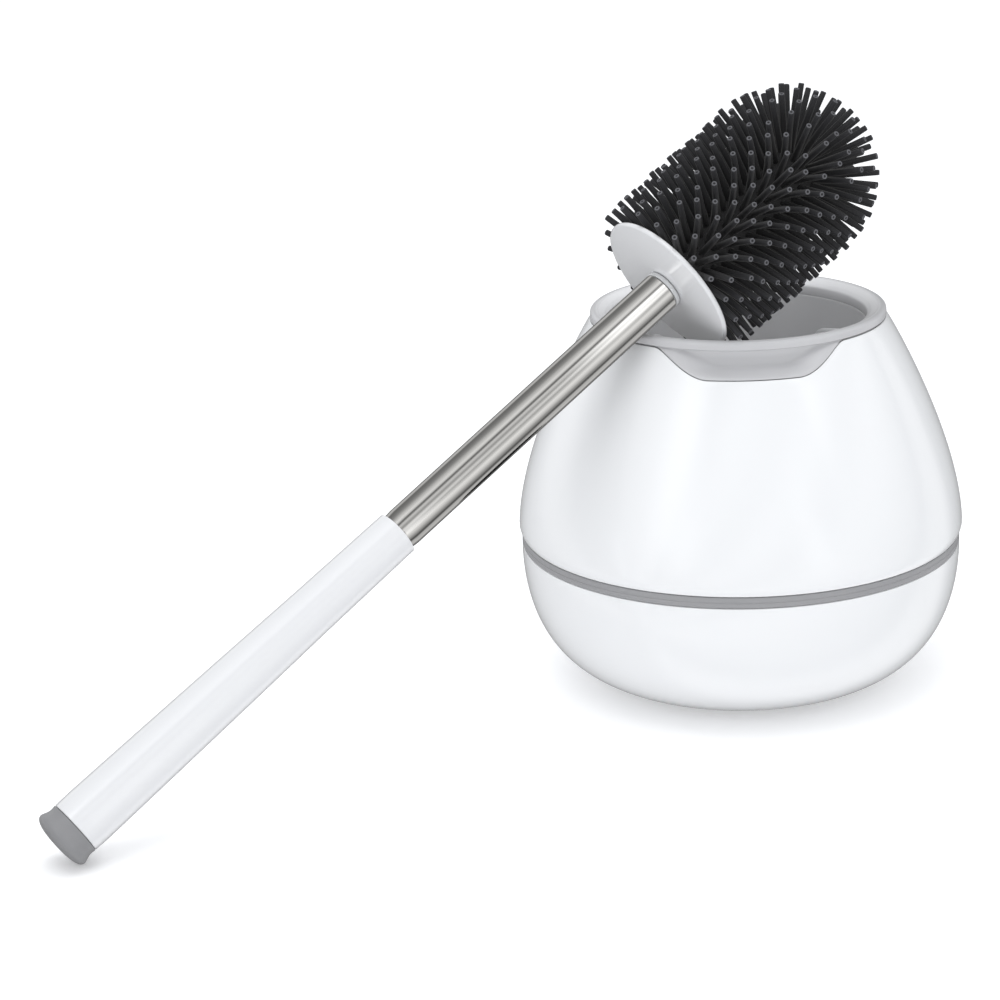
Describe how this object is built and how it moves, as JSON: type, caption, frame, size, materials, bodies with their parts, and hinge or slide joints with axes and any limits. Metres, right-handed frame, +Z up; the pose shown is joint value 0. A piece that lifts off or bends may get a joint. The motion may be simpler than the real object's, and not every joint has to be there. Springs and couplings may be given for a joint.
{
  "type": "toilet brush holder",
  "caption": "Round two-shell toilet brush pot with a lift-out drip cup and grey collar, and a silicone brush with a steel and white handle leaning on its rim.",
  "frame": {"origin": "middle of the pad under the pot, on the floor", "axes": "+Z up, front of the pot at -Y, the brush's handle reaches out towards -X and -Y"},
  "size_m": [0.3315, 0.2516, 0.2257],
  "materials": {
    "white_shell": "glossy white ABS",
    "white_grip": "satin gloss white polypropylene",
    "grey_trim": "fine matt grey plastic",
    "cup_grey": "matt mid-grey polypropylene",
    "tube_steel": "polished stainless steel tube",
    "screw_steel": "zinc-plated steel",
    "clear_seal": "translucent silicone",
    "bristle_silicone": "charcoal silicone, slightly glossy",
    "pad_rubber": "soft dark grey rubber"
  },
  "bodies": {
    "pot": {"anti_slip_pad": "pad_rubber", "lower_bowl": "white_shell", "accent_ring": "grey_trim", "upper_shell": "white_shell", "housing_screw_1": "screw_steel", "housing_screw_2": "screw_steel", "housing_screw_3": "screw_steel"},
    "liner": {"collar_ring": "grey_trim", "drip_cup": "cup_grey"},
    "handle": {"end_cap": "grey_trim", "grip": "white_grip", "tube_stopper": "pad_rubber", "steel_tube": "tube_steel", "threaded_insert": "white_grip"},
    "washer": {"seal_washer": "clear_seal"},
    "head": {"splash_disc": "white_grip", "head_core": "white_grip", "bristle_sleeve": "bristle_silicone"}
  },
  "joints": [
    {"name": "liner_lift", "type": "slide", "parent": "pot", "child": "liner", "axis": [0, 0, 1], "range_m": [0, 0.14]},
    {"name": "brush_lift", "type": "slide", "parent": "liner", "child": "handle", "axis": [0, 0, 1], "range_m": [0, 0.16]},
    {"name": "washer_travel", "type": "slide", "parent": "handle", "child": "washer", "axis": [0.7347, 0.4362, 0.5195], "range_m": [0, 0.0151]},
    {"name": "head_unscrew", "type": "hinge", "parent": "washer", "child": "head", "pos_m": [-0.0288, -0.0325, 0.159], "axis": [0.7347, 0.4362, 0.5195], "range_deg": [0, 1800]}
  ],
  "couplings": [
    {"joint": "washer_travel", "follows": "head_unscrew", "m_per_rad": 0.00047746}
  ]
}
